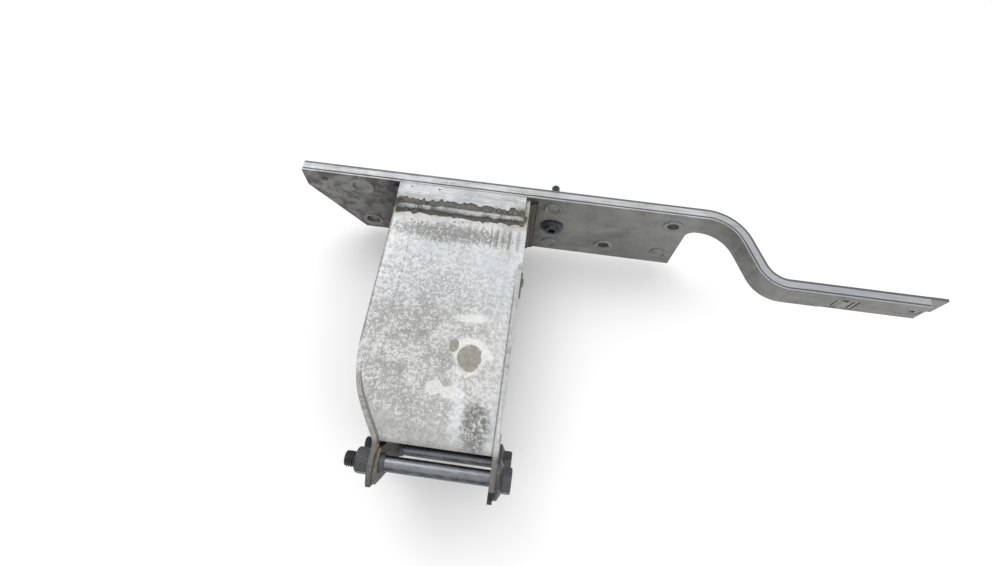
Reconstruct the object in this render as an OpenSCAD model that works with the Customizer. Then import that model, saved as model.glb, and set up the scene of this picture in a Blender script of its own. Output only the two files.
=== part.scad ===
// Welded light-alloy mounting bracket: a three-cell flat beam whose upper cell
// runs on as an S-bent arm, a crush box welded to its front face, and two long
// through-bolts across the mouth of the box.
// Construction frame: X along the beam, -Y out of the box mouth, Z up, with
// Y = 0 at the front face of the beam and Z = 0 at its upper rim. place() then
// moves the origin to the middle of the seating area on the beam's back face.

/* [Beam] */
// Thickness of the beam, front face to back face
beam_t = 11.5; // [10:0.5:14]
// Height of the beam
beam_h = 94; // [90:1:98]
// Wall thickness of the beam's front and back faces
beam_wall = 2.6; // [2:0.1:3]
// Left end of the upper edge
beam_left = -93; // [-105:1:-85]
// Right end of the full-height plate
plate_right = 273; // [268:1:276]

/* [Arm] */
// Height of the arm cell
arm_h = 25.5; // [24:0.5:27]
// Start of the first bend
bend_start = 283.5; // [283.5:0.5:290]
// Inner radius of the first bend
bend_r1 = 34; // [30:1:38]
// Angle of both bends
bend_angle = 64; // [56:1:68]
// Straight length between the bends
bend_straight = 26; // [20:1:30]
// Inner radius of the second bend
bend_r2 = 21; // [18:1:26]
// Right end of the arm's front wall and rims
arm_end = 472.5; // [466:0.5:478]
// Length of the back wall tab past the arm end
tab_len = 16.5; // [10:0.5:20]

/* [Crush box] */
// Outer width of the box
box_w = 122.5; // [118:0.5:124]
// Wall thickness of the box
box_wall = 3.6; // [3:0.1:4]
// Upward tilt of the box towards its mouth, degrees
box_tilt = 3.5; // [3:0.1:4]
// Inward joggle of the left wall at the mouth
joggle = 30; // [26:0.5:32]
// Height of the lips along the side walls
lip = 6; // [4:0.5:7]

/* [Bolts] */
// Shank diameter of the through-bolts
bolt_d = 12; // [11.5:0.1:12.4]
// Width across flats of bolt heads and nuts
hex_af = 18; // [17:0.5:19]
// Diameter of the bolt head flange
flange_d = 30; // [26:0.5:30]
// Radial clearance of turning shanks
fit = 0.05; // [0.03:0.01:0.08]

/* [Fasteners] */
// Shank diameter of the flanged screw through the beam
screw_d = 8; // [7.6:0.1:8.2]
// Bore of the two beam sleeves
sleeve_bore = 10.4; // [9:0.2:11]
// Thread diameter of the stud under the box
stud_d = 8; // [6:0.5:8]

/* [Hidden] */
$fn = 72;

alloy = [0.72, 0.73, 0.74];
alloy_dark = [0.50, 0.50, 0.50];
weld_col = [0.58, 0.56, 0.52];
black = [0.16, 0.17, 0.18];
plated = [0.82, 0.82, 0.80];

// centre of the seating area, moved to the origin by place()
cx = box_w / 2;
cz = -beam_h / 2;

// box section in its own tilted frame
zt = -4.6;
zb = -beam_h + 2.4;
mouth_y = -233.4;
mouth_y2 = -191.5;
mouth_ang = atan((mouth_y2 - mouth_y) / (zt - zb));
j_start = 70.6;
j_r1 = 84.5;
j_ang = 34.3;
j_r2 = 8;
j_len = (joggle - (j_r1 + j_r2) * (1 - cos(j_ang))) / sin(j_ang);

// bolt axes in the box frame, y and z
bolt_u = [-247.9, -11.2];
bolt_l = [-221.5, -83.8];

tip_u = 10.5;
tip_l = 6.5;
nut_in = joggle;
nut_h = 10.8;
bush_r = 7.2;
pad = 1.0;

screw_x = 146.3;
screw_z = -46.5;
hole_mid = [201.5, -71.7];
hole_tr = [257.9, -20.3];
bush_pos = [-38, -77.5];
plug_pos = [-38.5, -16];
rivet_pos = [[143.9, -14.7], [146.4, -79.2], [258, -72.9]];
loc_hole = [-73.1, -11.6];
stud_pos = [103.7, -51.3];
vent_pos = [39.2, -51.3];
slot_pos = [-70.6, -40.5];

// overlap of neighbouring arm segments, and end points of the S-bend
lap = 0.25;
b1x = bend_start + bend_r1 * sin(bend_angle);
b1y = -bend_r1 + bend_r1 * cos(bend_angle);
b2x = b1x + bend_straight * cos(bend_angle);
b2y = b1y - bend_straight * sin(bend_angle);
c2x = b2x + (beam_t + bend_r2) * sin(bend_angle);
c2y = b2y + (beam_t + bend_r2) * cos(bend_angle);
arm_y = c2y - bend_r2 - beam_t;

module place() translate([-cx, -beam_t, -cz]) children();
module box_frame() rotate([-box_tilt, 0, 0]) children();
module mouth_frame() box_frame() translate([0, mouth_y, zt]) rotate([mouth_ang, 0, 0]) children();
// profile drawn in y and z, swept along x from x0 to x1
module along_x(x0, x1) translate([x0, 0, 0]) rotate([90, 0, 90]) linear_extrude(x1 - x0) children();
// round cutter through the beam at x, z
module beam_hole(p, r, y0 = -5, y1 = 20) translate([p[0], y0, p[1]]) rotate([-90, 0, 0]) cylinder(r = r, h = y1 - y0);

// rim line of the beam: front lip, groove, band and back step
function rim(s, z) = [[0, z - s * 0.6], [0.5, z], [1.6, z], [1.9, z - s * 0.9], [2.9, z - s * 0.9],
    [3.2, z - s * 0.3], [beam_t - 2.8, z - s * 0.3], [beam_t - 2.5, z - s * 1.0], [beam_t - 0.5, z - s * 1.0], [beam_t, z - s * 1.5]];
function flip(a) = [for (i = [len(a) - 1:-1:0]) a[i]];

module arm_cell(g = 0) translate([beam_wall - g, -arm_h + 2.6 - g]) square([beam_t - 2 * beam_wall + 2 * g, arm_h - 2.6 - 3.6 + 2 * g]);
// arm profile, drawn smaller by g all round
module arm_section(g = 0) difference() {
    polygon(concat([for (i = [0:9]) let (p = rim(1, 0)[i], s = [1, 1, -1, -1, 1, 1, -1, -1, -1, -1][i]) [p[0] + s * g, p[1] - g]], [[beam_t - g, -arm_h + g], [g, -arm_h + g]]));
    arm_cell(g);
}
module plate_section() difference() {
    polygon(concat(rim(1, 0), flip(rim(-1, -beam_h))));
    arm_cell();
    translate([beam_wall, -57.5]) square([beam_t - 2 * beam_wall, 57.5 - arm_h - 0.4]);
    translate([beam_wall, -beam_h + 3.6]) square([beam_t - 2 * beam_wall, beam_h - 3.6 - 60]);
}

module arm_run() {
    // first bend
    translate([bend_start, -bend_r1, 0]) rotate([0, 0, 90 - bend_angle]) rotate_extrude(angle = bend_angle + 0.5)
        translate([bend_r1, 0]) arm_section(0.03);
    // straight between the bends
    translate([b1x, b1y, 0]) rotate([0, 0, -bend_angle]) along_x(-lap, bend_straight + lap) arm_section(0.06);
    // second bend
    translate([c2x, c2y, 0]) rotate([0, 0, 270 - bend_angle]) rotate_extrude(angle = bend_angle + 0.5)
        translate([bend_r2 + beam_t, 0]) mirror([1, 0]) arm_section(0.03);
    // straight end of the arm
    translate([0, arm_y, 0]) along_x(c2x, arm_end) arm_section();
    // back wall tab
    translate([arm_end - 1, arm_y + beam_t - beam_wall, -arm_h]) cube([tab_len + 1, beam_wall, arm_h - 1.3]);
}

// teardrop pad around a bolt, profile in y and z, pointing to the beam
module teardrop(c, r, reach, rise) {
    translate(c) circle(r = r);
    translate(c) polygon([[-2, 0], [3.5, r * 0.95], [reach, rise], [3.5, -r * 0.95]]);
}

module beam() color(alloy_dark) place() {
    difference() {
        union() {
            difference() {
                along_x(beam_left, bend_start) plate_section();
                // raked left end
                translate([0, -1, 0]) rotate([90, 0, 0]) mirror([0, 0, 1]) linear_extrude(beam_t + 2)
                    polygon([[beam_left - 5, -24 + 5 * 0], [beam_left, -24], [beam_left + 45, -beam_h], [beam_left + 45, -beam_h - 5], [beam_left - 5, -beam_h - 5]]);
                // notch past the full-height plate
                translate([0, -1, 0]) rotate([90, 0, 0]) mirror([0, 0, 1]) linear_extrude(beam_t + 2) {
                    translate([plate_right, -beam_h - 5]) square([60, beam_h + 5 - 34]);
                    translate([plate_right + 8.5, -beam_h - 5]) square([60, beam_h + 5 - arm_h]);
                    translate([plate_right + 8.5, -34]) circle(r = 34 - arm_h);
                }
            }
            arm_run();
            // tabs of the rims over and under the box
            translate([0.5, -18, -2.8]) cube([box_w - 4.5, 18.5, 2.4]);
            translate([0.5, -20, -beam_h + 0.1]) cube([box_w - 4.5, 20.5, 2.2]);
        }
        beam_hole([screw_x, screw_z], screw_d / 2 + fit);
        beam_hole([screw_x, screw_z], 10.2, beam_wall + 1);
        beam_hole(hole_mid, 7);
        beam_hole(hole_tr, 7);
        beam_hole(bush_pos, 8.5);
        beam_hole(plug_pos, 8, -5, beam_wall + 2);
        for (p = rivet_pos) beam_hole(p, 4.8, -5, beam_wall + 2);
        beam_hole(loc_hole, 3);
        // milled flat, clip window, oval recess and end hole of the arm
        translate([389, arm_y - 5, -30]) cube([120, 5.4, 40]);
        translate([394.5, arm_y - 1, -24]) cube([22, beam_wall + 2, 17.3]);
        translate([455.5, arm_y - 1, -13]) rotate([-90, 0, 0]) cylinder(r = 6.2, h = 1.8);
        translate([464.3, arm_y - 1, -13]) rotate([-90, 0, 0]) cylinder(r = 6.2, h = 1.8);
        translate([455.5, arm_y - 1, -19.2]) cube([8.8, 1.8, 12.4]);
        translate([463.5, arm_y - 1, -13.2]) rotate([-90, 0, 0]) cylinder(r = 2.4, h = beam_t + 2);
    }
}

// left wall surface at a depth off from the outer face, in the mouth frame
function wall_line(off) = concat(
    [[off, 280]],
    [for (i = [0:6]) let (a = j_ang * i / 6) [j_r1 - (j_r1 - off) * cos(a), j_start - (j_r1 - off) * sin(a)]],
    [for (i = [0:3]) let (a = j_ang * (3 - i) / 3)
        [joggle - j_r2 + (j_r2 + off) * cos(a), j_start - j_r1 * sin(j_ang) - j_len * cos(j_ang) - j_r2 * sin(j_ang) + (j_r2 + off) * sin(a)]]);

module plan_outer(d0) intersection() {
    polygon(concat(wall_line(0), [[joggle, -60], [box_w, -60], [box_w, 280]]));
    translate([-5, d0]) square([box_w + 10, 400]);
}
module plan_inner() polygon(concat([[box_wall, 290]], wall_line(box_wall), [[joggle + box_wall, -70], [box_w - box_wall, -70], [box_w - box_wall, 290]]));

// left wall outline in y and z: plain edges rising into the ear
module left_profile() polygon([
    [25, zt], [-170, zt], [-182, zt + 1.2], [-198, zt + 4], [-212, zt + lip - 0.6], [-225, zt + lip],
    [-252, zt + lip], [-259, zt + lip - 1.5], [-264.5, zt + lip - 6], [-266.5, zt + lip - 10],
    [-236, -80], [-231.5, -90], [-226, zb - 4], [-219, zb - lip + 1], [-208, zb - lip + 1.8], [-192, zb - 2], [-178, zb], [25, zb]]);

// right wall outline in y and z, with lips, crush notches and ear
module side_profile() polygon([
    [25, zt], [-68, zt], [-73, zt + 2], [-77, zt + lip], [-149, zt + lip], [-153, zt + lip - 3.6], [-162, zt + lip - 3.6], [-166, zt + lip],
    [-252, zt + lip], [-259, zt + lip - 1.5], [-264.5, zt + lip - 6], [-266.5, zt + lip - 10],
    [-236, -80], [-231.5, -90], [-226, zb - 4], [-219, zb - lip + 1],
    [-172, zb - lip + 1], [-166, zb - 1.2], [-156, zb - 1.2], [-151, zb - lip + 1],
    [-76, zb - lip + 1], [-72, zb - 2], [-66, zb], [25, zb]]);

module box_tube() color(alloy) place() difference() {
    union() {
        // side walls with lips and ears
        intersection() {
            mouth_frame() translate([0, 0, -260]) linear_extrude(520) difference() {
                plan_outer(-60);
                plan_inner();
            }
            box_frame() union() {
                along_x(-5, 60) left_profile();
                along_x(60.5, box_w + 5) side_profile();
            }
        }
        // upper and lower walls
        intersection() {
            mouth_frame() translate([0, 0, -260]) linear_extrude(520) plan_outer(0);
            box_frame() union() {
                along_x(-5, box_w + 5) translate([-320, zt - box_wall]) square([345, box_wall]);
                along_x(-5, box_w + 5) translate([-320, zb]) square([345, box_wall]);
                // diagonal web in the lower right corner
                translate([0, 25, 0]) rotate([90, 0, 0]) linear_extrude(345)
                    polygon([[box_w - box_wall - 15, zb + 1], [box_w - box_wall - 12, zb + 1], [box_w - 1, zb + box_wall + 14.5], [box_w - 1, zb + box_wall + 17.5]]);
            }
        }
        // raised pads under the bolt heads
        intersection() {
            box_frame() union() {
                along_x(box_w - 1, box_w + pad) teardrop(bolt_u, 15.5, 27, 2);
                along_x(box_w - 1, box_w + pad) teardrop(bolt_l, 15.5, 24, -1);
            }
            box_frame() along_x(-5, box_w + 5) side_profile();
        }
    }
    // end against the beam
    translate([-50, 0, -200]) cube([300, 60, 400]);
    // bolt holes
    box_frame() for (b = [bolt_u, bolt_l]) {
        translate([box_w - 10, b[0], b[1]]) rotate([0, 90, 0]) cylinder(r = bolt_d / 2 + fit, h = 20);
        translate([joggle - 5, b[0], b[1]]) rotate([0, 90, 0]) cylinder(r = bush_r, h = 15);
    }
    // oval hole for the side plug
    box_frame() translate([box_w - 8, slot_pos[0], slot_pos[1]]) {
        translate([0, -6.5, 0]) rotate([0, 90, 0]) cylinder(r = 5.5, h = 16);
        translate([0, 6.5, 0]) rotate([0, 90, 0]) cylinder(r = 5.5, h = 16);
        translate([0, -6.5, -5.5]) cube([16, 13, 11]);
    }
    // round hole beside the stud
    box_frame() translate([vent_pos[0], vent_pos[1], zb - 5]) cylinder(r = 3.4, h = 12);
    // stud hole
    box_frame() translate([stud_pos[0], stud_pos[1], zb - 5]) cylinder(r = stud_d / 2, h = 12);
}

module ear_plate() color(alloy_dark) place() difference() {
    intersection() {
        mouth_frame() translate([joggle + box_wall, -45, -260]) cube([3.2, 41, 520]);
        box_frame() along_x(joggle, joggle + 10) polygon([[-200, zt - 1], [-250, zt + 3], [-258, zt + 2.5], [-262.5, zt - 1], [-264, zt - 5],
            [-234.5, -80], [-230, -89], [-225, -93.5], [-180, -93.5]]);
    }
    box_frame() for (b = [bolt_u, bolt_l])
        translate([joggle, b[0], b[1]]) rotate([0, 90, 0]) cylinder(r = bush_r, h = 12);
}

module weld_top() color(weld_col) place() difference() {
    box_frame() along_x(2, box_w - 3.5) polygon([[-17, zt], [-27.5, zt], [-26.8, -3.2], [-25, -1.2], [-22.8, 0.3], [-20.5, 0.9], [-18.6, 0.7], [-17, 0.3]]);
    translate([-5, -18, -20]) cube([200, 30, 40]);
}

module weld_bottom() color(weld_col) place() difference() {
    box_frame() along_x(2, box_w - 3.5) polygon([[-17, zb], [-30, zb], [-29.2, zb - 1.8], [-27, zb - 3.6], [-24, zb - 4.6], [-20, zb - 4.4], [-17, zb - 4]]);
    translate([-5, -20, -120]) cube([200, 30, 50]);
}

module weld_right() color(weld_col) place() translate([0, 0, -90.5]) linear_extrude(85)
    polygon([[box_w, 0], [box_w + 7.2, 0], [box_w + 6.8, -1.4], [box_w + 5.2, -3.6], [box_w + 3.2, -5.5], [box_w + 1.2, -6.8], [box_w, -7.2]]);

module weld_left() color(weld_col) place() translate([0, 0, -90.5]) linear_extrude(85)
    polygon([[0, 0], [-5.4, 0], [-5.0, -1.3], [-3.6, -3.2], [-2.0, -4.6], [-0.8, -5.2], [0, -5.4]]);

module weld_ear() color(weld_col) place() intersection() {
    mouth_frame() translate([0, 0, -260]) linear_extrude(520)
        polygon([[joggle + box_wall, -4], [joggle + box_wall + 3.2, -4], [joggle + box_wall + 2.9, -2.6], [joggle + box_wall + 1.8, -1.2], [joggle + box_wall, -0.5]]);
    box_frame() along_x(joggle, joggle + 10) polygon([[-280, zt - 6], [-180, zt - 6], [-180, zb + 7], [-280, zb + 7]]);
}

// bolt along x with its head at the right, axis at b in the box frame
module bolt(b, tip_x) box_frame() translate([0, b[0], b[1]]) rotate([0, 90, 0]) {
    translate([0, 0, tip_x]) cylinder(r1 = bolt_d / 2 - 1.2, r2 = bolt_d / 2, h = 1.5);
    translate([0, 0, tip_x + 1.5]) cylinder(r = bolt_d / 2, h = box_w + pad + 1 - tip_x - 1.5);
    translate([0, 0, box_w + pad]) cylinder(r = flange_d / 2, h = 2.2);
    translate([0, 0, box_w + pad + 2.2]) cylinder(r1 = flange_d / 2 - 0.8, r2 = hex_af / 2 + 1.2, h = 2.4);
    difference() {
        intersection() {
            translate([0, 0, box_w + pad + 2]) cylinder(r = hex_af / sqrt(3), h = 9.2, $fn = 6);
            translate([0, 0, box_w + pad + 2]) cylinder(r1 = hex_af / 2 + 10.6, r2 = hex_af / 2 - 0.2, h = 10.8);
        }
        translate([0, 0, box_w + pad + 10.2]) cylinder(r = hex_af / 2 - 3, h = 3);
    }
}

module nut(b) box_frame() translate([nut_in - nut_h, b[0], b[1]]) rotate([0, 90, 0]) difference() {
    intersection() {
        cylinder(r = hex_af / sqrt(3), h = nut_h, $fn = 6);
        cylinder(r1 = hex_af / 2 - 0.3, r2 = hex_af / 2 + 10, h = nut_h);
    }
    translate([0, 0, -1]) cylinder(r = bolt_d / 2 + fit, h = nut_h + 2);
}

module bolt_upper() color(black) place() bolt(bolt_u, tip_u);
module bolt_lower() color(black) place() bolt(bolt_l, tip_l);
module nut_upper() color(black) place() nut(bolt_u);
module nut_lower() color(black) place() nut(bolt_l);

module bushes() color(black) place() box_frame() for (b = [bolt_u, bolt_l])
    translate([joggle, b[0], b[1]]) rotate([0, 90, 0]) difference() {
        cylinder(r = bush_r, h = 10.5);
        translate([0, 0, -1]) cylinder(r = bolt_d / 2 + fit, h = 15);
    }

// six-lobe recess outline
module lobes(r) polygon([for (i = [0:47]) let (a = i * 7.5) (r - 0.75 + 0.75 * cos(6 * a)) * [cos(a), sin(a)]]);

module flange_screw() color(black) place() translate([screw_x, 0, screw_z]) rotate([90, 0, 0]) difference() {
    union() {
        cylinder(r = 11.2, h = 1.6);
        translate([0, 0, 1.6]) cylinder(r1 = 10.6, r2 = 7.8, h = 1.6);
        translate([0, 0, 3.2]) cylinder(r1 = 7.4, r2 = 6.6, h = 2.6);
        translate([0, 0, -44.5]) cylinder(r = screw_d / 2, h = 45);
        translate([0, 0, -46]) cylinder(r1 = screw_d / 2 - 1, r2 = screw_d / 2, h = 1.5);
    }
    translate([0, 0, 2.4]) linear_extrude(5) lobes(4.4);
}

module flange_nut() color(black) place() translate([screw_x, beam_wall, screw_z]) rotate([-90, 0, 0]) difference() {
    union() {
        cylinder(r = 9, h = 1.4);
        intersection() {
            cylinder(r = 13 / sqrt(3), h = 8, $fn = 6);
            cylinder(r1 = 15, r2 = 6.4, h = 8.6);
        }
    }
    translate([0, 0, -1]) cylinder(r = screw_d / 2 + fit, h = 12);
}

module rivets() color(alloy) place() for (p = rivet_pos) translate([p[0], 0, p[1]]) rotate([90, 0, 0]) {
    rotate_extrude() polygon([[0, 0], [8.3, 0], [8.1, 0.7], [7.3, 1.3], [6.5, 1.2], [5.8, 0.5], [4.4, 0.6], [2.5, 1.1], [0, 1.3]]);
    translate([0, 0, -beam_wall]) cylinder(r = 4.8, h = beam_wall + 0.2);
}

module sleeve(p, ro, rf, bore) translate([p[0], 0, p[1]]) rotate([90, 0, 0]) rotate_extrude()
    polygon([[bore / 2, -beam_t], [ro, -beam_t], [ro, 0], [rf, 0], [rf - 0.3, 0.7], [rf - 1.6, 1.0], [bore / 2 + 0.8, 0.6], [bore / 2, 0.1]]);

module sleeves() color(alloy_dark) place() {
    sleeve(hole_mid, 7, 9.9, sleeve_bore);
    sleeve(hole_tr, 7, 9.9, sleeve_bore);
}

module left_bush() color(alloy_dark) place() sleeve(bush_pos, 8.5, 10.6, 13.4);

module dish_plug() color(alloy_dark) place() translate([plug_pos[0], 0, plug_pos[1]]) rotate([90, 0, 0]) rotate_extrude()
    polygon([[0, -beam_wall], [8, -beam_wall], [8, 0], [12.3, 0], [12, 0.7], [10.4, 1.2], [8.6, 0.8], [7.4, -0.6], [6, -0.8], [0, -0.4]]);

module side_plug() color(alloy_dark) place() box_frame() translate([box_w, slot_pos[0], slot_pos[1]]) {
    for (s = [-1, 1]) translate([-box_wall, s * 6.5, 0]) rotate([0, 90, 0]) cylinder(r = 5.45, h = box_wall + 1.6);
    translate([-box_wall, -6.5, -5.45]) cube([box_wall + 1.6, 13, 10.9]);
    for (s = [-1, 1]) translate([0, s * 6.5, 0]) rotate([0, 90, 0]) cylinder(r = 6.4, h = 1.2);
    translate([0, -6.5, -6.4]) cube([1.2, 13, 12.8]);
    translate([1.2, 3, 0]) rotate([0, 90, 0]) cylinder(r1 = 5, r2 = 3.2, h = 1.8);
}

module stud() color(black) place() box_frame() translate([stud_pos[0], stud_pos[1], 0]) {
    translate([0, 0, zb - 1.8]) cylinder(r = 7.3, h = 1.8);
    translate([0, 0, zb - 18.8]) cylinder(r = stud_d / 2, h = 20.3);
    translate([0, 0, zb - 20]) cylinder(r1 = stud_d / 2 - 0.9, r2 = stud_d / 2, h = 1.2);
}

module clip_nut() color(plated) place() translate([0, arm_y, 0]) {
    // pressed sheet face in the window with a rounded rib and two side slots
    difference() {
        union() {
            translate([395.2, 0.9, -23.4]) cube([20.6, 1.4, 16.1]);
            translate([396.5, 2.2, -22.7]) cube([18, 4, 14.8]);
            translate([404.5, 3.6, -22.6]) cylinder(r = 4.2, h = 14.5);
        }
        translate([411.3, -1, -22]) cube([1.6, 3, 13.4]);
        translate([397.2, -1, -22]) cube([1.2, 3, 13.4]);
    }
}

beam();
box_tube();
ear_plate();
weld_top();
weld_bottom();
weld_right();
weld_left();
weld_ear();
bolt_upper();
nut_upper();
bolt_lower();
nut_lower();
bushes();
flange_screw();
flange_nut();
rivets();
sleeves();
left_bush();
dish_plug();
side_plug();
stud();
clip_nut();
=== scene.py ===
import math
import random
import bpy
import numpy as np
from mathutils import Matrix, Vector


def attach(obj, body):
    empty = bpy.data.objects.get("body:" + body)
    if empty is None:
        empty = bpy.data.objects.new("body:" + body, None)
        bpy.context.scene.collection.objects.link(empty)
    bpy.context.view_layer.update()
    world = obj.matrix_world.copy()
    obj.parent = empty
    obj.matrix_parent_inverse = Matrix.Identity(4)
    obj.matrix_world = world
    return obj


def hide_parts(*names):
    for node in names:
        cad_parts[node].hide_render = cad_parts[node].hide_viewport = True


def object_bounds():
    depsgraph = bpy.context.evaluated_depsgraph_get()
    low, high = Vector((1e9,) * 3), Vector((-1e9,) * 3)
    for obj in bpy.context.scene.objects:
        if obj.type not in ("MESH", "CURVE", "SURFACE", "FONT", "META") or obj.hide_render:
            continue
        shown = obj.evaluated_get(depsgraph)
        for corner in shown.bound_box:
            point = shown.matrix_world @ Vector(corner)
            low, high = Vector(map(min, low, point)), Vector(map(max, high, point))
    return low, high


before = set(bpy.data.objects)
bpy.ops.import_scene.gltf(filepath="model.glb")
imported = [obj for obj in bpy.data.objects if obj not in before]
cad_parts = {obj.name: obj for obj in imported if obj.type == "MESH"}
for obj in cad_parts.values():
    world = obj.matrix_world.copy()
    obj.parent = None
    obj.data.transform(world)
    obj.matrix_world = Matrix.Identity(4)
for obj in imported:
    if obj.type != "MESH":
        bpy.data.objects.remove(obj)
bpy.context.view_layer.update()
scene = bpy.context.scene
random.seed(11)
RNG = np.random.default_rng(7)

# Construction coordinates (mm): x along the beam, -y out of the box mouth, z up,
# beam front face y = 0, upper rim z = 0. Row frame = these moved to the seat on the back face.
OFF = np.array([61.25, 11.5, -47.0])
TILT = math.radians(3.5)
BOX_W, ZT, ZB = 122.5, -4.6, -91.6
BOLT_U, BOLT_L = (-247.9, -11.2), (-221.5, -83.8)
JOG = 30.0


def row(p):
    return (np.asarray(p, float) - OFF) / 1000.0


def boxp(x, y, z):
    """box frame -> construction coordinates"""
    c, s = math.cos(TILT), math.sin(TILT)
    return np.array([x, y * c + z * s, -y * s + z * c])


# ---------------------------------------------------------------- camera
cam_data = bpy.data.cameras.new("camera")
cam = bpy.data.objects.new("camera", cam_data)
scene.collection.objects.link(cam)
right = Vector((0.99088, 0.13395, 0.01486))
up = Vector((-0.12834, 0.90415, 0.40749))
fwd = Vector((-0.04114, 0.40568, -0.91309))
m = Matrix.Identity(4)
for i in range(3):
    m[i][0], m[i][1], m[i][2] = right[i], up[i], -fwd[i]
m.translation = Vector((0.06125, -0.3025, 0.5008))
cam.matrix_world = m
cam_data.sensor_fit = "HORIZONTAL"
cam_data.sensor_width = 36.0
cam_data.lens = 36.0 * 581.04 / 992.0
cam_data.clip_start, cam_data.clip_end = 0.01, 50.0
scene.camera = cam

# ---------------------------------------------------------------- node helpers


def node(nt, kind, ins=None, **props):
    n = nt.nodes.new(kind)
    for k, v in props.items():
        setattr(n, k, v)
    for k, v in (ins or {}).items():
        if isinstance(v, bpy.types.NodeSocket):
            nt.links.new(v, n.inputs[k])
        else:
            n.inputs[k].default_value = v
    return n


def material(name):
    mat = bpy.data.materials.new(name)
    mat.use_nodes = True
    nt = mat.node_tree
    bsdf = nt.nodes["Principled BSDF"]
    tc = nt.nodes.new("ShaderNodeTexCoord")
    return mat, nt, bsdf, tc.outputs["Object"]


def scaled(nt, vec, s, loc=(0, 0, 0)):
    return node(nt, "ShaderNodeMapping", {0: vec, 1: loc, 3: s}).outputs[0]


def noise(nt, vec, scale, detail=6.0, rough=0.6, dist=0.0):
    return node(nt, "ShaderNodeTexNoise", {"Vector": vec, "Scale": scale, "Detail": detail, "Roughness": rough, "Distortion": dist}).outputs[0]


def rng(nt, v, a, b, c=0.0, d=1.0):
    return node(nt, "ShaderNodeMapRange", {0: v, 1: a, 2: b, 3: c, 4: d}, interpolation_type="SMOOTHSTEP").outputs[0]


def mth(nt, op, a, b=0.0, clamp=False):
    return node(nt, "ShaderNodeMath", {0: a, 1: b}, operation=op, use_clamp=clamp).outputs[0]


def mul(nt, *a):
    v = a[0]
    for b in a[1:]:
        v = mth(nt, "MULTIPLY", v, b)
    return v


def add(nt, *a):
    v = a[0]
    for b in a[1:]:
        v = mth(nt, "ADD", v, b)
    return v


def mix(nt, fac, a, b, blend="MIX"):
    def col(c):
        return c if isinstance(c, bpy.types.NodeSocket) else (*c, 1.0)
    n = node(nt, "ShaderNodeMix", {0: fac, 6: col(a), 7: col(b)}, data_type="RGBA", blend_type=blend, clamp_factor=True)
    return n.outputs[2]


def axes(nt, vec):
    n = node(nt, "ShaderNodeSeparateXYZ", {0: vec})
    return n.outputs


def blob(nt, vec, centre, radii, soft=0.35, wob=None):
    """1 inside an ellipsoid round a point in construction mm, 0 outside, with a ragged edge"""
    c = row(centre)
    r = [v / 1000.0 for v in radii]
    mp = node(nt, "ShaderNodeMapping", {0: vec, 1: tuple(-c[i] / r[i] for i in range(3)), 3: tuple(1.0 / v for v in r)}).outputs[0]
    ln = node(nt, "ShaderNodeVectorMath", {0: mp}, operation="LENGTH").outputs["Value"]
    if wob is not None:
        ln = add(nt, ln, wob)
    return rng(nt, ln, 1.0 + soft, 1.0 - soft)


def band(nt, v, lo, hi, soft):
    """1 between lo and hi (metres), soft edges"""
    return mul(nt, rng(nt, v, lo - soft, lo + soft), rng(nt, v, hi + soft, hi - soft))


def bump(nt, height, strength, dist, normal=None):
    ins = {"Strength": strength, "Distance": dist, "Height": height}
    if normal is not None:
        ins["Normal"] = normal
    return node(nt, "ShaderNodeBump", ins).outputs[0]


def up_mask(nt):
    g = node(nt, "ShaderNodeNewGeometry")
    nz = axes(nt, g.outputs["True Normal"])
    return nz


X0, Y0, Z0 = -OFF / 1000.0  # construction origin in the row frame

# ---------------------------------------------------------------- materials


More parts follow.
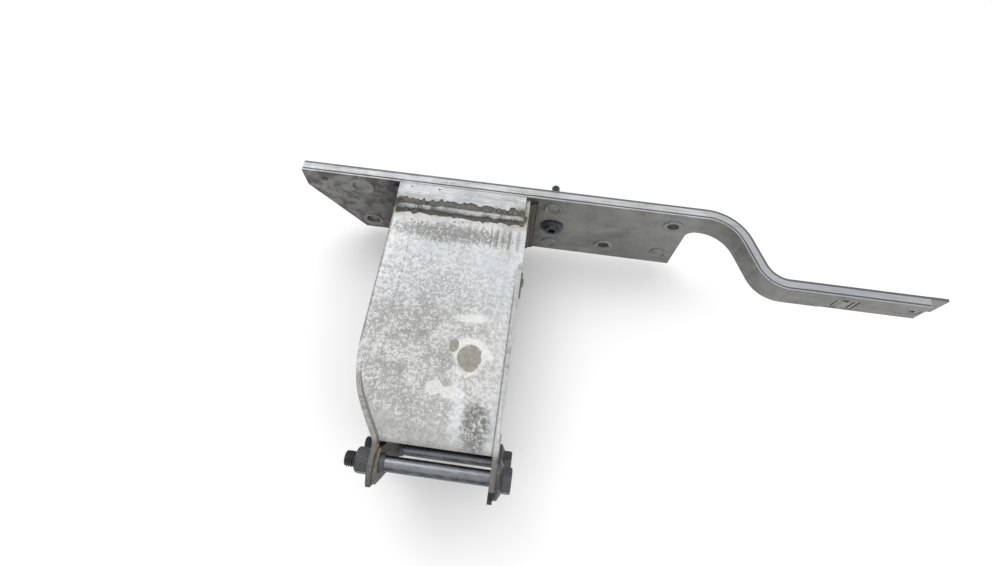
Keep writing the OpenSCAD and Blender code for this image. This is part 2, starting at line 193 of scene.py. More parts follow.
def mat_box():
    mat, nt, b, P = material("weathered_box")
    big = noise(nt, P, 13.0, 3, 0.5)
    mid = noise(nt, P, 55.0, 9, 0.72)
    fine = noise(nt, P, 330.0, 5, 0.7)
    grit = noise(nt, P, 1100.0, 3, 0.6)
    drag = noise(nt, scaled(nt, P, (1.0, 0.02, 1.0)), 900.0, 4, 0.6)
    long_ = noise(nt, scaled(nt, P, (1.0, 0.05, 1.0)), 120.0, 5, 0.6)
    ax = axes(nt, P)
    wob = mth(nt, "MULTIPLY", mth(nt, "SUBTRACT", mid, 0.5), 2.2)
    nz = up_mask(nt)
    top = rng(nt, nz[2], 0.6, 0.9)
    under = rng(nt, nz[2], -0.4, -0.8)
    # base: pale oxide over bright metal
    col = mix(nt, rng(nt, big, 0.35, 0.65), (0.44, 0.447, 0.447), (0.57, 0.576, 0.570))
    col = mix(nt, mul(nt, rng(nt, long_, 0.48, 0.66), 0.45), col, (0.36, 0.365, 0.365))
    # speckled corrosion, heavier in the lower left two thirds of the top and under the upper weld
    zone = blob(nt, P, (50, -160, 6), (60, 82, 60), 0.5, wob)
    zone2 = blob(nt, P, (58, -46, 0), (56, 9, 60), 0.45, wob)
    s = add(nt, mul(nt, mid, 0.26), mul(nt, fine, 0.44), mul(nt, grit, 0.30), mul(nt, zone, 0.035), mul(nt, zone2, 0.065))
    col = mix(nt, mul(nt, zone, 0.4), col, (0.35, 0.348, 0.335))
    smooth = mul(nt, band(nt, ax[1], Y0 - 0.118, Y0 - 0.055, 0.012), top)
    col = mix(nt, mul(nt, smooth, 0.5), col, mix(nt, rng(nt, mid, 0.35, 0.65), (0.40, 0.425, 0.45), (0.50, 0.52, 0.54)))
    spots = rng(nt, s, 0.505, 0.565)
    some = mth(nt, "ADD", mul(nt, zone, 0.55), mth(nt, "ADD", mul(nt, zone2, 0.7), 0.2), True)
    col = mix(nt, mul(nt, spots, some, 0.8), col, (0.17, 0.167, 0.155))
    crust = mul(nt, rng(nt, add(nt, mul(nt, fine, 0.5), mul(nt, grit, 0.5)), 0.53, 0.61), add(nt, mul(nt, zone, 0.65), 0.2))
    col = mix(nt, mul(nt, crust, 0.7), col, (0.70, 0.695, 0.67))
    pits = rng(nt, add(nt, mul(nt, grit, 0.6), mul(nt, mid, 0.4)), 0.59, 0.66)
    col = mix(nt, mul(nt, pits, 0.65), col, (0.12, 0.118, 0.11))
    # dull rubbed patches with the coating gone
    tan = add(nt, blob(nt, P, (90, -160, 8), (10, 11, 40), 0.06, mth(nt, "MULTIPLY", wob, 0.45)), blob(nt, P, (76, -151, 8), (4, 5.5, 40), 0.08, mth(nt, "MULTIPLY", wob, 0.5)))
    ring = add(nt, blob(nt, P, (90, -158, 8), (15, 14, 40), 0.2, wob), blob(nt, P, (66, -187, 8), (7, 6, 40), 0.12, mth(nt, "MULTIPLY", wob, 0.5)), blob(nt, P, (81, -190, 8), (9, 5.5, 40), 0.12, mth(nt, "MULTIPLY", wob, 0.8)), blob(nt, P, (86, -126, 8), (15, 4, 40), 0.3, wob))
    col = mix(nt, mul(nt, ring, rng(nt, fine, 0.36, 0.5), 0.75), col, (0.68, 0.68, 0.66))
    col = mix(nt, mul(nt, tan, 0.95), col, mix(nt, rng(nt, grit, 0.4, 0.6), (0.21, 0.20, 0.168), (0.27, 0.258, 0.222)))
    # dark oxidised patch near the mouth, light wipe beside it
    dark = blob(nt, P, (103, -214, 14), (12, 19, 40), 0.3, mth(nt, "MULTIPLY", wob, 0.6))
    col = mix(nt, mul(nt, dark, rng(nt, fine, 0.28, 0.56), 0.9), col, (0.14, 0.14, 0.135))
    wipe = blob(nt, P, (87, -208, 14), (4.5, 24, 40), 0.4, mth(nt, "MULTIPLY", wob, 0.8))
    col = mix(nt, mul(nt, wipe, 0.5), col, (0.60, 0.635, 0.67))
    dark2 = blob(nt, P, (60, -226, 14), (34, 9, 40), 0.5, wob)
    col = mix(nt, mul(nt, dark2, 0.4), col, (0.27, 0.27, 0.26))
    # vertical tally of scraped bars beside the right edge
    bars = mul(nt, band(nt, ax[0], X0 + 0.090, X0 + 0.118, 0.001), band(nt, ax[1], Y0 - 0.056, Y0 - 0.036, 0.003), rng(nt, noise(nt, scaled(nt, P, (1.0, 0.01, 0.0)), 240.0, 1, 0.5), 0.5, 0.56))
    col = mix(nt, mul(nt, bars, 0.7), col, (0.19, 0.18, 0.155))
    # painted highlight: bluish bright strip along the rounded right edge; a scored line near the left edge
    right_edge_highlight = mul(nt, band(nt, ax[0], X0 + 0.1125, X0 + 0.119, 0.0012), top)
    col = mix(nt, mul(nt, right_edge_highlight, 0.3), col, (0.53, 0.57, 0.62))
    score = mul(nt, band(nt, ax[0], X0 + 0.0195, X0 + 0.0207, 0.0004), band(nt, ax[1], Y0 - 0.235, Y0 - 0.02, 0.02), rng(nt, fine, 0.35, 0.6))
    col = mix(nt, mul(nt, score, 0.6), col, (0.25, 0.25, 0.24))
    # scratches
    scr = rng(nt, drag, 0.62, 0.70)
    col = mix(nt, mul(nt, scr, 0.4), col, (0.66, 0.67, 0.69))
    # heat stain by the welds, brownest at the ends
    near = rng(nt, ax[1], Y0 - 0.038, Y0 - 0.027)
    ends = add(nt, rng(nt, ax[0], X0 + 0.020, X0 + 0.004), rng(nt, ax[0], X0 + 0.102, X0 + 0.120))
    col = mix(nt, mul(nt, near, add(nt, mul(nt, ends, 0.6), 0.22), rng(nt, mid, 0.25, 0.7)), col, (0.21, 0.165, 0.11))
    # grimy ears and lips; painted shade below, on the sides and inside
    ear = rng(nt, ax[1], Y0 - 0.226, Y0 - 0.238)
    col = mix(nt, mul(nt, ear, 0.85), col, mix(nt, rng(nt, fine, 0.35, 0.65), (0.032, 0.028, 0.024), (0.105, 0.097, 0.088)))
    # painted shade: downward-facing faces darker
    col = mix(nt, mul(nt, under, 0.45), col, (0.34, 0.33, 0.315))
    # painted shade: side faces darker
    side = rng(nt, mth(nt, "ABSOLUTE", nz[0]), 0.5, 0.9)
    col = mix(nt, mul(nt, side, 0.55), col, mix(nt, rng(nt, mid, 0.35, 0.65), (0.20, 0.195, 0.185), (0.33, 0.325, 0.315)))
    # painted shade inside the box
    gx = mul(nt, rng(nt, ax[0], X0 + 0.0042, X0 + 0.0050), rng(nt, ax[0], X0 + 0.1186, X0 + 0.1178))
    tilt_z = add(nt, ax[2], mth(nt, "MULTIPLY", ax[1], 0.0612))
    gz = mul(nt, rng(nt, tilt_z, Z0 - 0.0052, Z0 - 0.0062), rng(nt, tilt_z, Z0 - 0.0912, Z0 - 0.0902))
    col = mix(nt, mul(nt, gx, gz, 0.75), col, (0.05, 0.048, 0.045))
    # painted shade: dark line along the right edge of the top beyond the step, where the edge steps in
    step_edge_shade = mul(nt, band(nt, ax[0], X0 + 0.1176, X0 + 0.1187, 0.0003), rng(nt, ax[1], Y0 - 0.080, Y0 - 0.100), top)
    col = mix(nt, mul(nt, step_edge_shade, 0.7), col, (0.14, 0.128, 0.11))
    # painted shade: near-black patch at the right ear's tip, on its shadowed front edge
    tip = blob(nt, P, tuple(boxp(121, -265, -7)), (8, 7.5, 12), 0.12)
    col = mix(nt, mul(nt, tip, 0.9), col, (0.012, 0.012, 0.012))
    # grimy lips; painted shade along the top's left edge, beside the grazing left wall
    lips = rng(nt, tilt_z, Z0 - 0.0042, Z0 - 0.0034)
    lleft = rng(nt, ax[0], X0 + 0.045, X0 + 0.040)
    noear = mth(nt, "SUBTRACT", 1.0, ear)
    col = mix(nt, mul(nt, lips, noear, add(nt, mul(nt, lleft, 0.35), 0.35), top), col, (0.17, 0.16, 0.145))
    # painted shade: darker strip on the left edge of the top
    edge = mul(nt, rng(nt, ax[0], X0 + 0.0022, X0 + 0.0008), rng(nt, ax[1], Y0 - 0.165, Y0 - 0.150))
    col = mix(nt, mul(nt, edge, 0.75), col, (0.16, 0.15, 0.14))
    rough = rng(nt, s, 0.46, 0.60, 0.38, 0.66)
    h = add(nt, mul(nt, fine, 0.5), mul(nt, grit, 0.35), mul(nt, drag, 0.35), mul(nt, spots, -0.25))
    n = bump(nt, h, 0.35, 0.0004)
    n = bump(nt, big, 0.25, 0.004, n)
    nt.links.new(col, b.inputs["Base Color"])
    nt.links.new(rough, b.inputs["Roughness"])
    nt.links.new(n, b.inputs["Normal"])
    b.inputs["Metallic"].default_value = 0.55
    return mat


def mat_beam():
    mat, nt, b, P = material("weathered_beam")
    big = noise(nt, P, 16.0, 4, 0.55)
    mid = noise(nt, P, 70.0, 8, 0.7)
    fine = noise(nt, P, 420.0, 5, 0.65)
    drag = noise(nt, scaled(nt, P, (0.03, 1.0, 1.0)), 900.0, 4, 0.6)
    soft = noise(nt, scaled(nt, P, (0.25, 1.0, 1.0)), 45.0, 5, 0.6)
    ax = axes(nt, P)
    nz = up_mask(nt)
    top = rng(nt, nz[2], 0.6, 0.9)
    # front and back faces: grey oxide mottling on a base darkened as painted shade
    face = mix(nt, rng(nt, big, 0.3, 0.7), (0.155, 0.155, 0.150), (0.215, 0.215, 0.210))
    face = mix(nt, mul(nt, rng(nt, soft, 0.45, 0.65), 0.5), face, (0.26, 0.26, 0.25))
    face = mix(nt, mul(nt, rng(nt, add(nt, mul(nt, mid, 0.6), mul(nt, fine, 0.4)), 0.52, 0.66), 0.55), face, (0.10, 0.098, 0.092))
    # soot beside the box and grime on the left wing
    front = rng(nt, nz[1], 0.2, -0.2)
    soot = mul(nt, front, rng(nt, ax[0], X0 - 0.034, X0 - 0.002), rng(nt, ax[0], X0 + 0.004, X0 + 0.002))
    left = mul(nt, rng(nt, ax[0], X0 + 0.01, X0 - 0.02), add(nt, mul(nt, front, 0.75), 0.25))
    face = mix(nt, mul(nt, left, rng(nt, mid, 0.42, 0.58), 0.7), face, (0.055, 0.051, 0.047))
    face = mix(nt, mul(nt, soot, rng(nt, mid, 0.15, 0.55), 0.9), face, (0.035, 0.034, 0.036))
    soot2 = mul(nt, front, rng(nt, ax[0], X0 + 0.150, X0 + 0.124), rng(nt, ax[0], X0 + 0.118, X0 + 0.121))
    face = mix(nt, mul(nt, soot2, rng(nt, mid, 0.2, 0.6), 0.6), face, (0.06, 0.056, 0.05))
    # upper rim and tabs: brighter as painted light on upward faces, brushed along the beam
    rim = mix(nt, rng(nt, big, 0.35, 0.65), (0.40, 0.41, 0.425), (0.50, 0.51, 0.52))
    rim = mix(nt, mul(nt, rng(nt, add(nt, mul(nt, mid, 0.55), mul(nt, fine, 0.45)), 0.54, 0.64), 0.5), rim, (0.26, 0.255, 0.245))
    rim = mix(nt, mul(nt, rng(nt, drag, 0.54, 0.66), 0.55), rim, (0.66, 0.67, 0.69))
    rim = mix(nt, mul(nt, rng(nt, noise(nt, scaled(nt, P, (0.05, 1.0, 1.0)), 420.0, 4, 0.6), 0.54, 0.64), 0.5), rim, (0.20, 0.20, 0.20))
    arm = rng(nt, ax[0], X0 + 0.275, X0 + 0.33)
    rim = mix(nt, mul(nt, arm, 0.55), rim, (0.33, 0.345, 0.37))
    # upward faces take the rim colour, the rest the face colour: painted light and shade by orientation
    col = mix(nt, top, face, rim)
    # groove and back step painted darker
    groove_darkening = add(nt, band(nt, ax[2], Z0 - 0.0016, Z0 - 0.00062, 0.00012), rng(nt, ax[2], 1.0, 2.0))
    inplate = rng(nt, ax[0], X0 + 0.2835, X0 + 0.2836, 1.0, 1.0)
    col = mix(nt, mul(nt, groove_darkening, inplate, top, 0.85), col, (0.075, 0.078, 0.082))
    # tab melts into the weld: brown at both ends
    tab = mul(nt, top, rng(nt, ax[0], X0 + 0.126, X0 + 0.122), rng(nt, ax[1], Y0 - 0.006, Y0 - 0.016), rng(nt, ax[1], Y0 - 0.022, Y0 - 0.019))
    ends = add(nt, rng(nt, ax[0], X0 + 0.022, X0 + 0.004), rng(nt, ax[0], X0 + 0.104, X0 + 0.118))
    col = mix(nt, mul(nt, tab, add(nt, mul(nt, ends, 0.85), 0.15), rng(nt, mid, 0.25, 0.55)), col, (0.13, 0.105, 0.072))
    # machined part of the arm's front face
    mach = rng(nt, ax[0], X0 + 0.3889, X0 + 0.3891)
    swirl = node(nt, "ShaderNodeTexWave", {"Vector": scaled(nt, P, (1, 1, 1), (0.0, 0, 0)), "Scale": 260.0, "Distortion": 9.0, "Detail": 2.0, "Detail Scale": 1.2}, wave_type="RINGS").outputs[1]
    col = mix(nt, mul(nt, mach, mth(nt, "SUBTRACT", 1.0, top), 0.35), col, mix(nt, swirl, (0.15, 0.145, 0.14), (0.30, 0.295, 0.285)))
    rough = rng(nt, mid, 0.35, 0.65, 0.40, 0.62)
    h = add(nt, mul(nt, fine, 0.6), mul(nt, drag, 0.4), mul(nt, mid, 0.4))
    n = bump(nt, h, 0.28, 0.0004)
    nt.links.new(col, b.inputs["Base Color"])
    nt.links.new(rough, b.inputs["Roughness"])
    nt.links.new(n, b.inputs["Normal"])
    b.inputs["Metallic"].default_value = 0.55
    return mat


def mat_weld():
    mat, nt, b, P = material("weld_metal")
    mid = noise(nt, P, 120.0, 8, 0.7)
    fine = noise(nt, P, 800.0, 4, 0.6)
    big = noise(nt, P, 30.0, 3, 0.5)
    at = node(nt, "ShaderNodeAttribute", attribute_name="shade", attribute_type="GEOMETRY").outputs["Fac"]
    ax = axes(nt, P)
    col = mix(nt, rng(nt, mid, 0.35, 0.65), (0.26, 0.262, 0.26), (0.50, 0.505, 0.505))
    # painted highlight on the bead crest, painted shade at the toes, from the shade attribute
    at = add(nt, at, mul(nt, mth(nt, "SUBTRACT", mid, 0.5), 1.3))
    col = mix(nt, mul(nt, rng(nt, at, 0.35, 0.95), 0.9), mix(nt, rng(nt, fine, 0.3, 0.7), (0.055, 0.052, 0.048), (0.13, 0.125, 0.115)), col)
    brown = mul(nt, rng(nt, big, 0.56, 0.70), 0.3)
    col = mix(nt, brown, col, (0.22, 0.17, 0.11))
    ends = add(nt, rng(nt, ax[0], X0 + 0.014, X0 + 0.003), rng(nt, ax[0], X0 + 0.1165, X0 + 0.1225))
    col = mix(nt, mul(nt, ends, rng(nt, mid, 0.2, 0.55), 0.8), col, (0.065, 0.055, 0.043))
    n = bump(nt, add(nt, fine, mid), 0.4, 0.0004)
    nt.links.new(col, b.inputs["Base Color"])
    nt.links.new(rng(nt, mid, 0.3, 0.7, 0.32, 0.58), b.inputs["Roughness"])
    nt.links.new(n, b.inputs["Normal"])
    b.inputs["Metallic"].default_value = 0.65
    return mat


def mat_steel(name, dark, light, metallic, r0, r1, rust=0.0, stretch=(1, 1, 1), sheen=0.0):
    mat, nt, b, P = material(name)
    v = scaled(nt, P, stretch)
    mid = noise(nt, P, 90.0, 8, 0.7)
    fine = noise(nt, v, 700.0, 5, 0.65)
    grit = noise(nt, P, 1500.0, 3, 0.6)
    col = mix(nt, rng(nt, add(nt, mul(nt, mid, 0.5), mul(nt, fine, 0.5)), 0.38, 0.62), dark, light)
    col = mix(nt, mul(nt, rng(nt, grit, 0.66, 0.74), 0.6), col, tuple(min(1.0, c * 2.2) for c in light))
    if sheen:
        # painted highlight on upward faces, painted shade on downward faces
        up_ = up_mask(nt)[2]
        col = mix(nt, mul(nt, rng(nt, up_, 0.70, 0.97), sheen), col, (0.46, 0.48, 0.52))
        col = mix(nt, mul(nt, rng(nt, up_, 0.45, 0.0), 0.75), col, (0.02, 0.021, 0.024))
    if rust:
        col = mix(nt, mul(nt, rng(nt, mid, 0.58, 0.70), rust), col, (0.15, 0.085, 0.045))
    n = bump(nt, add(nt, mul(nt, fine, 0.6), mul(nt, grit, 0.4)), 0.3, 0.0003)
    nt.links.new(col, b.inputs["Base Color"])
    nt.links.new(rng(nt, mid, 0.3, 0.7, r0, r1), b.inputs["Roughness"])
    nt.links.new(n, b.inputs["Normal"])
    b.inputs["Metallic"].default_value = metallic
    return mat


BOX, BEAM, WELD = mat_box(), mat_beam(), mat_weld()
PHOS = mat_steel("black_phosphate", (0.060, 0.062, 0.066), (0.125, 0.128, 0.134), 0.75, 0.40, 0.60, 0.25)
SHAFT = mat_steel("bolt_shank", (0.040, 0.043, 0.048), (0.135, 0.142, 0.152), 0.9, 0.24, 0.40, 0.1, (0.2, 1, 1), 0.32)
TORX = mat_steel("blued_screw", (0.030, 0.034, 0.040), (0.070, 0.077, 0.088), 0.7, 0.28, 0.42)
RIV = mat_steel("rivet_alloy", (0.13, 0.13, 0.125), (0.27, 0.27, 0.26), 0.6, 0.36, 0.55)
ZINC = mat_steel("zinc_clip", (0.11, 0.108, 0.10), (0.30, 0.295, 0.28), 0.85, 0.25, 0.42)
EAR = mat_steel("ear_alloy", (0.075, 0.070, 0.062), (0.18, 0.17, 0.158), 0.5, 0.45, 0.65, 0.2)

# ---------------------------------------------------------------- CAD nodes


def dress(name, mat, bevel=None, seg=2, angle=35):
    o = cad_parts[name]
    me = o.data
    if len(me.materials) == 0:
        me.materials.append(mat)
    for i in range(len(me.materials)):
        me.materials[i] = mat
    if bevel:
        w = o.modifiers.new("weld", "WELD")
        w.merge_threshold = 0.000002
        md = o.modifiers.new("bevel", "BEVEL")
        md.width = bevel / 1000.0
        md.segments = seg
        md.limit_method = "ANGLE"
        md.angle_limit = math.radians(angle)
        md.use_clamp_overlap = True
        md.harden_normals = False
    return o


dress("beam", BEAM, 0.22)
dress("box_tube", BOX, 0.45)
dress("ear_plate", EAR, 0.4)
dress("nut_upper", PHOS, 0.35)
dress("nut_lower", PHOS, 0.35)
dress("bushes", PHOS, 0.3)
dress("flange_nut", PHOS, 0.25)
dress("flange_screw", TORX, 0.2)
dress("rivets", RIV, 0.15)
dress("sleeves", RIV, 0.15)
dress("left_bush", RIV, 0.15)
dress("dish_plug", RIV, 0.15)
dress("side_plug", RIV, 0.4)
dress("clip_nut", ZINC, 0.3)

# ---------------------------------------------------------------- mesh helpers


def make(name, verts, faces, mat, body, smooth=True, shade=None):
    me = bpy.data.meshes.new(name)
    me.from_pydata([tuple(v) for v in verts], [], [tuple(int(i) for i in f) for f in faces])
    me.update()
    me.materials.append(mat)
    if shade is not None:
        a = me.attributes.new("shade", "FLOAT", "POINT")
        a.data.foreach_set("value", np.asarray(shade, dtype=np.float32))
    for p in me.polygons:
        p.use_smooth = smooth
    o = bpy.data.objects.new(name, me)
    scene.collection.objects.link(o)
    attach(o, body)
    return o


def grid_faces(nu, nv, wrap_v=False):
    f = []
    for i in range(nu - 1):
        for j in range(nv if wrap_v else nv - 1):
            k = (j + 1) % nv
            f.append((i * nv + j, (i + 1) * nv + j, (i + 1) * nv + k, i * nv + k))
    return f


def smooth_noise(n, step, amp, seed):
    r = np.random.default_rng(seed)
    k = max(4, int(n / step) + 3)
    v = r.normal(0, 1, k)
    t = np.linspace(0, k - 1.001, n)
    i = t.astype(int)
    f = t - i
    f = f * f * (3 - 2 * f)
    return amp * (v[i] * (1 - f) + v[np.minimum(i + 1, k - 1)] * f)


def bead(name, path, prof, length, pitch, amp, seed, tilt=0.6, body="bracket", n_s=None, edge=(0.5, 0.5), node_name=None):
    """Weld bead. path(s) -> (origin, axis A, axis B) in construction mm, prof: list of (a, b, weight)
    closed below the surface; ripple moves points along the local outward direction."""
    ns = n_s or int(length / 0.55)
    pr = np.array(prof, float)
    npf = len(pr)
    cen = pr[:, :2].mean(0)
    out = pr[:, :2] - cen
    out /= np.linalg.norm(out, axis=1)[:, None] + 1e-9
    verts, shade = [], []
    wide = smooth_noise(ns, 9, 0.10, seed)
    tall = smooth_noise(ns, 7, 0.12, seed + 1)
    wob = smooth_noise(ns, 14, 0.42, seed + 2)
    jit = np.cumsum(1.0 + 0.35 * np.random.default_rng(seed + 3).normal(0, 1, ns) * 0.5) / ns
    toe = [smooth_noise(ns, 5, 0.55, seed + 10 + q) for q in range(2)]
    for i in range(ns):
        s = length * i / (ns - 1)
        endf = min(1.0, s / 5.0, (length - s) / 5.0)
        endf = 0.35 + 0.65 * math.sin(max(0.0, endf) * math.pi / 2)
        o, A, B = path(s)
        for j in range(npf):
            a, b, w = pr[j]
            v = j / (npf - 1)
            lag = tilt * math.cos((v - 0.5) * math.pi)
            ph = 2 * math.pi * (jit[i] / jit[-1] * length / pitch + lag)
            saw = (ph / (2 * math.pi)) % 1.0
            rip = (1 - saw) ** 1.6 if saw > 0.12 else saw / 0.12 * 0.82
            d = amp * w * (rip - 0.4) + w * wob[i] * 0.35
            aa = (a - cen[0]) * (1 + wide[i] * w) + cen[0] + out[j, 0] * d
            bb = cen[1] + (b - cen[1]) * (1 + tall[i] * w) * (endf if w > 0 else 1.0) + out[j, 1] * d
            if w > 0.0 and w < 0.5:
                aa += (toe[0][i] if v < 0.5 else toe[1][i]) * edge[0 if v < 0.5 else 1]
            verts.append(row(o + aa * A + bb * B))
            # shade attribute: painted highlight on the crest, painted shade toward the toes
            crest = 1.0 if w >= 0.95 else max(0.0, (w - 0.45) * 0.9)
            shade.append(min(1.0, max(0.0, crest * (0.80 + 0.20 * rip) + 0.35 * wob[i])))
    faces = grid_faces(ns, npf, True)
    faces.append(tuple(range(npf))[::-1])
    faces.append(tuple((ns - 1) * npf + j for j in range(npf)))
    ob = make(name, verts, faces, WELD, body, True, shade)
    if node_name:
        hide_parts(node_name)
    return ob


# weld along the upper tab: irregular melted toe, hollow, crest, steep foot
def top_path(s):
    p = boxp(2.0 + s, -22.5, ZT)
    return p, np.array([0.0, math.cos(TILT), -math.sin(TILT)]) * -1.0, np.array([0.0, math.sin(TILT), math.cos(TILT)])


prof_top = [(-7.5, 2.2, 0.0), (-7.2, 3.55, 0.30), (-5.4, 3.9, 0.45), (-4.2, 3.5, 0.5), (-3.0, 3.1, 0.7), (-1.8, 3.3, 0.9), (-0.4, 4.3, 1.0), (0.8, 4.9, 1.0), (2.0, 4.7, 1.0),
            (3.1, 3.7, 1.0), (3.9, 2.3, 0.9), (4.6, 1.1, 0.6), (5.6, 0.5, 0.45), (6.6, 0.25, 0.35), (7.2, -0.8, 0.0), (0.0, -1.2, 0.0)]
bead("bead_top", top_path, prof_top, 117.0, 2.9, 0.16, 21, 0.45, node_name="weld_top", edge=(2.5, 1.3))


def bottom_path(s):
    p = boxp(2.0 + s, -23.5, ZB)
    return p, np.array([0.0, -math.cos(TILT), math.sin(TILT)]), np.array([0.0, -math.sin(TILT), -math.cos(TILT)])


prof_bot = [(-5.4, 1.0, 0.0), (-5.0, 2.9, 0.35), (-3.4, 3.6, 0.8), (-1.2, 4.1, 1.0), (0.8, 4.2, 1.0), (2.6, 3.5, 1.0), (4.2, 2.2, 0.9), (5.4, 1.0, 0.5), (6.2, 0.3, 0.35), (6.6, -0.8, 0.0), (0.0, -1.2, 0.0)]
bead("bead_bottom", bottom_path, prof_bot, 117.0, 2.9, 0.45, 33, 0.45, node_name="weld_bottom")


def corner_path(x, sx):
    def f(s):
        return np.array([x, 0.0, -90.5 + s]), np.array([sx, 0.0, 0.0]), np.array([0.0, -1.0, 0.0])
    return f


def corner_prof(leg):
    pts = [(-0.8, -0.8, 0.0), (leg * 1.04, -0.8, 0.0), (leg * 1.04, 0.15, 0.3)]
    for t in range(1, 8):
        a = t / 8 * math.pi / 2
        k = 0.62 + 0.38 * (abs(math.cos(2 * a)))
        pts.append((leg * math.cos(a) * k, leg * math.sin(a) * k, 0.9 if 1 < t < 7 else 0.6))
    pts.append((0.15, leg * 1.04, 0.3))
    pts.append((-0.8, leg * 1.04, 0.0))
    return pts


bead("bead_right", corner_path(BOX_W, 1.0), corner_prof(7.0), 85.0, 3.1, 0.55, 45, 0.4, node_name="weld_right")
bead("bead_left", corner_path(0.0, -1.0), corner_prof(5.2), 85.0, 2.8, 0.45, 57, 0.4, node_name="weld_left")

# weld on the inner face of the left ear, along the reinforcing plate's rear edge
MA = math.atan((-191.5 + 233.4) / (ZT - ZB))


def mouth(x, d, w):
    y = -233.4 + d * math.cos(MA) - w * math.sin(MA)
    z = ZT + d * math.sin(MA) + w * math.cos(MA)
    return boxp(x, y, z)


def ear_path(s):
    o = mouth(JOG + 3.6, -4.0, -12.0 - s)
    e1 = mouth(JOG + 4.6, -4.0, -12.0 - s) - o
    e2 = mouth(JOG + 3.6, -3.0, -12.0 - s) - o
    return o, e2, e1


prof_ear = [(-2.6, 0.5, 0.0), (-2.4, 3.1, 0.3), (-1.2, 4.2, 0.9), (0.4, 4.0, 1.0), (1.8, 2.9, 1.0), (3.0, 1.5, 0.8), (3.8, 0.4, 0.3), (3.9, -0.6, 0.0), (0.0, -0.6, 0.0)]
bead("bead_ear", ear_path, prof_ear, 74.0, 3.3, 0.6, 71, 0.4, node_name="weld_ear")

# ---------------------------------------------------------------- bolts with real threads and hex heads


def lathe_rows(rows, nth):
    """rows: list of (t, radius function of angle) -> verts in (t, a, b)"""
    v = []
    for t, rf in rows:
        for k in range(nth):
            th = 2 * math.pi * k / nth
            r = rf(th) if callable(rf) else rf
            v.append((t, r * math.cos(th), r * math.sin(th)))
    return v


def hexr(af, corner, cham):
    def f(th):
        a = (th + math.pi / 6) % (math.pi / 3) - math.pi / 6
        return min(af / 2 / math.cos(a), cham)
    return f


def screw_mesh(name, to3, t0, t1, r, pitch, th0, th1, rows_after, mat, body, nth=48, replaces=None, shank_mat=None, shank=(0, 0), hand=1):
    rows = []
    depth = 0.61 * pitch
    n = int((th1 - th0) / pitch * 9)
    rows.append((t0, 0.01))
    rows.append((t0, r - depth - 0.3))
    for i in range(n + 1):
        t = th0 + (th1 - th0) * i / n
        fade = min(1.0, (th1 - t) / (pitch * 1.5)) if t > th1 - pitch * 1.5 else 1.0
        lim = r - depth + min(depth, (t - t0) * 0.9)

        def rf(th, t=t, fade=fade, lim=lim):
            ph = (hand * th / (2 * math.pi) + t / pitch) % 1.0
            tri = 1.0 - abs(2 * ph - 1.0)
            g = min(1.0, max(0.0, (tri - 0.12) / 0.7))
            return min(r - depth * (1 - g) * fade, lim)
        rows.append((t, rf))
    rows.append((th1 + 0.2, r))
    rows += rows_after
    v = lathe_rows(rows, nth)
    verts = [row(to3(*p)) for p in v]
    faces = grid_faces(len(rows), nth, True)
    faces.append(tuple(range(nth)))
    faces.append(tuple((len(rows) - 1) * nth + k for k in range(nth))[::-1])
    o = make(name, verts, faces, mat, body)
    me = o.data
    if shank_mat is not None:
        me.materials.append(shank_mat)
        for p in me.polygons:
            i = p.vertices[0] // nth
            if i < len(rows) and shank[0] <= rows[i][0] <= shank[1]:
                p.material_index = 1
    me.set_sharp_from_angle(angle=math.radians(32))
    if replaces:
        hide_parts(replaces)
    return o


def bolt(name, bc, body, tip):
    def to3(t, a, b):
        return boxp(t, bc[0] + a, bc[1] + b)
    f0 = BOX_W + 1.0
    R = 15.0
    hx = hexr(18.0, 0, 99.0)
    rows = [(f0 - 0.01, 6.0), (f0, 6.01), (f0, R - 0.5), (f0 + 0.25, R - 0.1), (f0 + 0.8, R), (f0 + 1.9, R), (f0 + 2.25, R - 0.3), (f0 + 2.5, R - 1.0), (f0 + 3.6, 12.0), (f0 + 4.5, 10.4)]
    top = f0 + 11.2

    def hr(cham):
        return hexr(18.0, 0, cham)
    rows += [(f0 + 4.7, hr(10.15)), (f0 + 5.0, hr(10.35)), (top - 1.6, hr(10.39)), (top - 1.0, hr(10.2)), (top - 0.5, hr(9.75)), (top - 0.15, hr(9.2)), (top, hr(8.7)),
             (top, 6.6), (top - 0.25, 6.2), (top - 0.9, 5.8), (top - 1.0, 0.01)]
    th1 = 38.0
    return screw_mesh(name, to3, tip, BOX_W, 6.0, 1.75, tip + 0.4, th1, rows, PHOS, body, nth=72, replaces=name.replace("_threaded", ""), shank_mat=SHAFT, shank=(38.1, BOX_W))


bolt("bolt_upper_threaded", BOLT_U, "bolt_upper", 10.5)
bolt("bolt_lower_threaded", BOLT_L, "bolt_lower", 6.5)

# stud under the box
def stud_to3(t, a, b):
    return boxp(103.7 + a, -51.3 + b, ZB - 20.0 + t)


screw_mesh("stud_threaded", stud_to3, 0.0, 20.0, 4.0, 1.25, 0.3, 16.6,
           [(17.6, 4.0), (18.1, 4.1), (18.2, 5.6), (18.3, 6.9), (18.6, 7.3), (19.7, 7.3), (20.0, 7.2), (20.0, 4.01), (21.5, 4.0), (21.5, 0.01)], PHOS, "bracket", nth=40, replaces="stud")

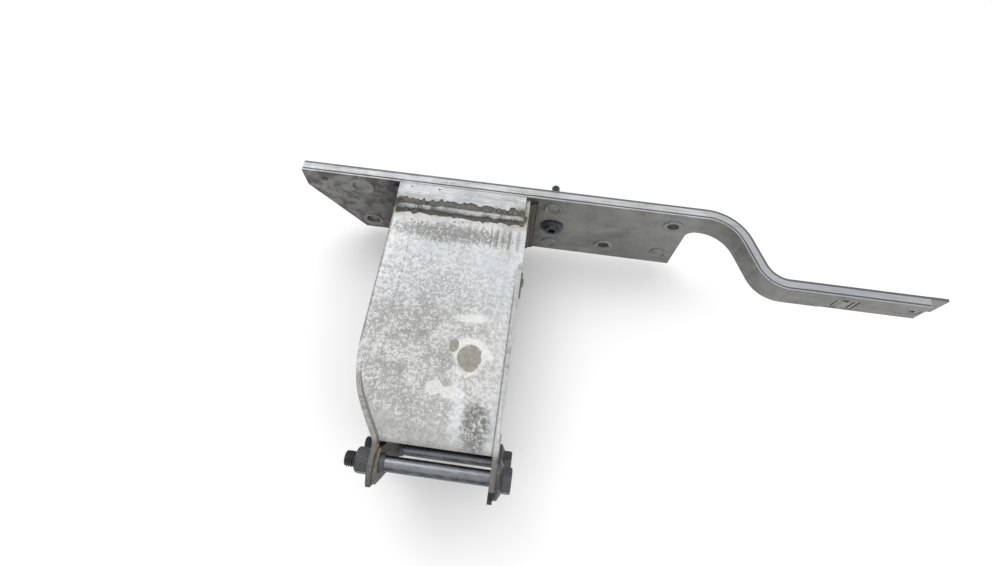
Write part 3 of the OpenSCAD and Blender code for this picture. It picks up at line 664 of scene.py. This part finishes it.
# ---------------------------------------------------------------- small details
def lump(name, centre, radii, seed, mat=WELD, body="bracket", n=18, rough=0.18):
    """solidified spatter: a lumpy low dome"""
    r = np.random.default_rng(seed)
    ph = r.uniform(0, 6.28, 8)
    verts, sh = [], []
    c = np.asarray(centre, float)
    for i in range(n + 1):
        la = math.pi * i / n
        for k in range(2 * n):
            lo_ = math.pi * k / n
            d = np.array([math.sin(la) * math.cos(lo_), math.sin(la) * math.sin(lo_), math.cos(la)])
            w = 1 + rough * (math.sin(3 * lo_ + ph[0]) * math.sin(2 * la + ph[1]) + 0.6 * math.sin(5 * lo_ + ph[2]) * math.sin(4 * la + ph[3]))
            verts.append(row(c + d * np.array(radii) * w))
            # shade attribute: painted light on bulges, painted shade in dips
            sh.append(0.3 + 0.5 * (w - 0.8))
    f = grid_faces(n + 1, 2 * n, True)
    return make(name, verts, f, mat, body, True, np.clip(sh, 0, 1))


GOLD = mat_steel("heat_tint", (0.20, 0.12, 0.05), (0.42, 0.30, 0.16), 0.7, 0.3, 0.5)
lump("spatter_ear", mouth(JOG + 2.2, -5.5, 6.5), (2.6, 2.4, 1.6), 5, GOLD)
lump("spatter_ear_b", mouth(JOG + 3.6, -2.5, 5.6), (1.3, 1.6, 1.0), 6, GOLD)
lump("weld_end_left", boxp(3.5, -20.5, ZT + 2.6), (4.2, 3.6, 2.3), 8)
lump("weld_end_right", boxp(117.5, -21.5, ZT + 2.2), (3.6, 3.4, 2.4), 9)
for q in range(9):
    x = random.uniform(8, 116)
    y = random.uniform(-17, -3) if q % 2 else random.uniform(-40, -29)
    zz = boxp(x, y, ZT)[2] if y < -20 else -0.4
    lump("spatter_%d" % q, (x, y, zz), (random.uniform(0.5, 1.0), random.uniform(0.5, 0.9), random.uniform(0.25, 0.5)), 100 + q, n=8)

# ---------------------------------------------------------------- stage and light
lo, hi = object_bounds()
fl = bpy.data.meshes.new("floor")
fl.from_pydata([(-14, -14, lo.z - 0.0008), (14, -14, lo.z - 0.0008), (14, 14, lo.z - 0.0008), (-14, 14, lo.z - 0.0008)], [], [(0, 1, 2, 3)])
floor = bpy.data.objects.new("floor", fl)
scene.collection.objects.link(floor)
fm, nt, b, P = material("floor_paper")
b.inputs["Base Color"].default_value = (0.97, 0.97, 0.97, 1)
b.inputs["Roughness"].default_value = 0.9
b.inputs["Specular IOR Level"].default_value = 0.0
floor.data.materials.append(fm)

w = bpy.data.worlds.new("world")
scene.world = w
w.use_nodes = True
nt = w.node_tree
bg = nt.nodes["Background"]
tc = nt.nodes.new("ShaderNodeTexCoord")
az = axes(nt, tc.outputs["Generated"])
bg_col = mix(nt, rng(nt, az[2], -0.1, 0.75), (0.60, 0.605, 0.615), (1.0, 1.0, 1.0))
nt.links.new(bg_col, bg.inputs[0])
bg.inputs[1].default_value = 1.02


def area(name, loc, target, size, power, color=(1, 1, 1)):
    d = bpy.data.lights.new(name, "AREA")
    d.shape = "RECTANGLE"
    d.size, d.size_y = size
    d.energy = power
    d.color = color
    o = bpy.data.objects.new(name, d)
    scene.collection.objects.link(o)
    o.location = loc
    o.rotation_mode = "QUATERNION"
    o.rotation_quaternion = (Vector(target) - Vector(loc)).to_track_quat("-Z", "Y")
    return o


area("key", (-0.5, 0.55, 1.5), (0.05, -0.05, 0.0), (1.0, 0.8), 7.0)
area("fill", (1.1, -0.9, 1.2), (0.1, -0.1, 0.0), (1.2, 1.2), 4.0, (1.0, 0.99, 0.97))
scene.view_settings.view_transform = "Standard"
scene.view_settings.look = "None"
scene.view_settings.exposure = 0.0
